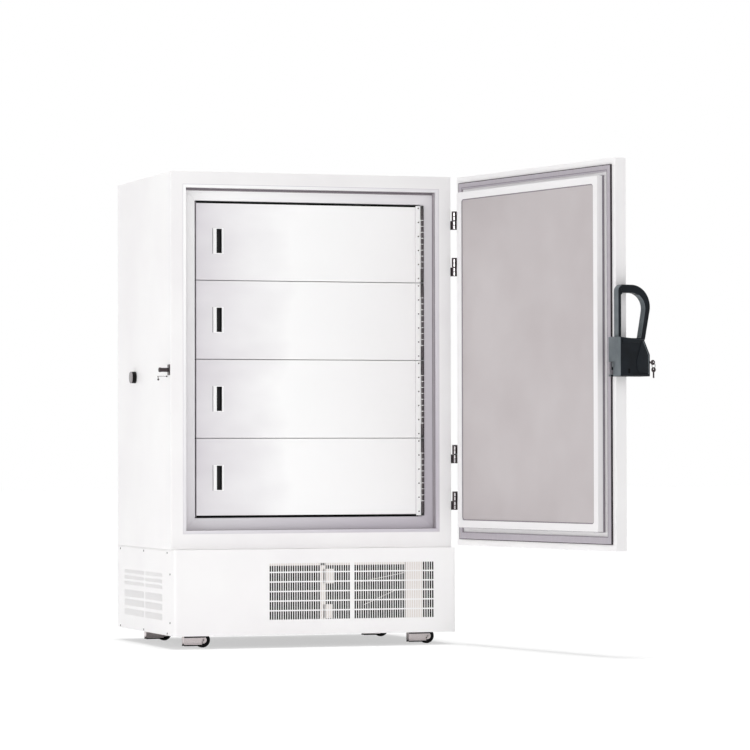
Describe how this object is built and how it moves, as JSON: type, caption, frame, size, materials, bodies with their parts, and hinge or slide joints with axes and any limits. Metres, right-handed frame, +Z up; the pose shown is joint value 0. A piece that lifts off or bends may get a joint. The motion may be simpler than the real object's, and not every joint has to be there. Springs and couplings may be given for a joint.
{
  "type": "laboratory freezer",
  "caption": "Upright laboratory freezer with an open hinged outer door, insulated inner doors over shelves, a loop handle with latch, a grille base and swivel castors.",
  "frame": {"origin": "on the floor, below the middle of the upper cabinet's footprint", "axes": "+Z up, -Y out of the cabinet's front, +X to the right seen from the front"},
  "size_m": [1.6652, 2.1855, 1.961],
  "materials": {
    "shell_paint": "satin",
    "door_paint": "satin",
    "foam": "matt",
    "stainless": "brushed",
    "panel_steel": "brushed",
    "frame_plastic": "satin",
    "gasket_rubber": "matt",
    "seal_rubber": "matt",
    "inner_door_skin": "satin",
    "pull_plastic": "satin",
    "handle_plastic": "satin",
    "dark_plastic": "matt",
    "grey_plastic": "matt",
    "steel": "satin",
    "zinc_steel": "zinc plated",
    "compressor_black": "satin",
    "mount_rubber": "matt",
    "fin_aluminium": "bare",
    "wheel_rubber": "matt",
    "key_brass": "bare"
  },
  "bodies": {
    "cabinet": {"back_panel": "shell_paint", "base_floor": "zinc_steel", "base_frame": "zinc_steel", "breaker_frame": "frame_plastic", "cabinet_shell": "shell_paint", "castor_plates": "zinc_steel", "compressor_feet": "mount_rubber", "compressors": "compressor_black", "condenser": "fin_aluminium", "control_box": "grey_plastic", "cover_screws": "steel", "fan_motor": "compressor_black", "fan_shroud": "zinc_steel", "front_grille": "shell_paint", "hinge_cabinet_halves": "steel", "inner_door_seals": "seal_rubber", "inner_hinge_leaves": "steel", "inner_liner": "stainless", "insulation_panels": "foam", "port_disc": "grey_plastic", "port_plug": "seal_rubber", "power_inlet": "dark_plastic", "rear_grille": "shell_paint", "refrigerant_pipes": "key_brass", "shelf_brackets": "stainless", "shelves": "stainless", "side_cover_left": "shell_paint", "side_cover_right": "shell_paint", "strike": "steel"},
    "outer_door": {"door_shell": "door_paint", "door_core": "foam", "door_liner": "frame_plastic", "door_panel": "panel_steel", "door_gasket": "gasket_rubber", "hinge_door_halves": "steel", "control_display": "dark_plastic", "handle_housing": "handle_plastic", "handle_pins": "steel"},
    "handle": {"handle_lever": "handle_plastic"},
    "latch": {"latch_claw": "steel"},
    "lock": {"lock_cylinder": "steel", "key": "key_brass"},
    "ring": {"key_ring": "steel"},
    "fan": {"fan_rotor": "dark_plastic"},
    "inner_door_1": {"inner_door_1": "inner_door_skin", "inner_door_pull_1": "pull_plastic"},
    "inner_door_2": {"inner_door_2": "inner_door_skin", "inner_door_pull_2": "pull_plastic"},
    "inner_door_3": {"inner_door_3": "inner_door_skin", "inner_door_pull_3": "pull_plastic"},
    "inner_door_4": {"inner_door_4": "inner_door_skin", "inner_door_pull_4": "pull_plastic"},
    "fork_front_left": {"castor_fork_front_left": "zinc_steel"},
    "wheel_front_left": {"castor_wheel_front_left": "wheel_rubber"},
    "fork_front_right": {"castor_fork_front_right": "zinc_steel"},
    "wheel_front_right": {"castor_wheel_front_right": "wheel_rubber"},
    "fork_rear_left": {"castor_fork_rear_left": "zinc_steel"},
    "wheel_rear_left": {"castor_wheel_rear_left": "wheel_rubber"},
    "fork_rear_right": {"castor_fork_rear_right": "zinc_steel"},
    "wheel_rear_right": {"castor_wheel_rear_right": "wheel_rubber"}
  },
  "joints": [
    {"name": "outer_door_hinge", "type": "hinge", "parent": "cabinet", "child": "outer_door", "pos_m": [0.6235, -0.443, 1.18475], "axis": [0, 0, 1], "range_deg": [-101.1, 25]},
    {"name": "handle_pivot", "type": "hinge", "parent": "outer_door", "child": "handle", "pos_m": [0.90262, -1.68907, 1.18], "axis": [-0.1925, 0.9813, 0], "range_deg": [0, 60]},
    {"name": "latch_pivot", "type": "hinge", "parent": "outer_door", "child": "latch", "pos_m": [0.86215, -1.6802, 1.113], "axis": [0.1925, -0.9813, 0], "range_deg": [0, 36]},
    {"name": "lock_turn", "type": "hinge", "parent": "outer_door", "child": "lock", "pos_m": [0.97974, -1.70299, 1.152], "axis": [-0.9813, -0.1925, 0], "range_deg": [0, 90]},
    {"name": "ring_swing", "type": "hinge", "parent": "lock", "child": "ring", "pos_m": [1.00264, -1.6985, 1.152], "axis": [0.1925, -0.9813, 0], "range_deg": [0, 60]},
    {"name": "fan_spin", "type": "hinge", "parent": "cabinet", "child": "fan", "pos_m": [0.12, -0.333, 0.1805], "axis": [0, 1, 0], "continuous": true},
    {"name": "inner_door_1_hinge", "type": "hinge", "parent": "cabinet", "child": "inner_door_1", "pos_m": [0.4973, -0.3975, 1.6775], "axis": [0, 0, 1], "range_deg": [0, 95]},
    {"name": "inner_door_2_hinge", "type": "hinge", "parent": "cabinet", "child": "inner_door_2", "pos_m": [0.4973, -0.3975, 1.3515], "axis": [0, 0, 1], "range_deg": [0, 95]},
    {"name": "inner_door_3_hinge", "type": "hinge", "parent": "cabinet", "child": "inner_door_3", "pos_m": [0.4973, -0.3975, 1.0255], "axis": [0, 0, 1], "range_deg": [0, 95]},
    {"name": "inner_door_4_hinge", "type": "hinge", "parent": "cabinet", "child": "inner_door_4", "pos_m": [0.4973, -0.3975, 0.6995], "axis": [0, 0, 1], "range_deg": [0, 95]},
    {"name": "swivel_front_left", "type": "hinge", "parent": "cabinet", "child": "fork_front_left", "pos_m": [-0.4885, -0.359, 0.0762], "axis": [0, 0, 1], "continuous": true},
    {"name": "roll_front_left", "type": "hinge", "parent": "fork_front_left", "child": "wheel_front_left", "pos_m": [-0.4535, -0.359, 0.0315], "axis": [0, 1, 0], "continuous": true},
    {"name": "swivel_front_right", "type": "hinge", "parent": "cabinet", "child": "fork_front_right", "pos_m": [0.4885, -0.359, 0.0762], "axis": [0, 0, 1], "continuous": true},
    {"name": "roll_front_right", "type": "hinge", "parent": "fork_front_right", "child": "wheel_front_right", "pos_m": [0.5235, -0.359, 0.0315], "axis": [0, 1, 0], "continuous": true},
    {"name": "swivel_rear_left", "type": "hinge", "parent": "cabinet", "child": "fork_rear_left", "pos_m": [-0.4885, 0.251, 0.0762], "axis": [0, 0, 1], "continuous": true},
    {"name": "roll_rear_left", "type": "hinge", "parent": "fork_rear_left", "child": "wheel_rear_left", "pos_m": [-0.4535, 0.251, 0.0315], "axis": [0, 1, 0], "continuous": true},
    {"name": "swivel_rear_right", "type": "hinge", "parent": "cabinet", "child": "fork_rear_right", "pos_m": [0.4885, 0.251, 0.0762], "axis": [0, 0, 1], "continuous": true},
    {"name": "roll_rear_right", "type": "hinge", "parent": "fork_rear_right", "child": "wheel_rear_right", "pos_m": [0.5235, 0.251, 0.0315], "axis": [0, 1, 0], "continuous": true}
  ],
  "couplings": [
    {"joint": "latch_pivot", "follows": "handle_pivot", "ratio": 0.6}
  ]
}
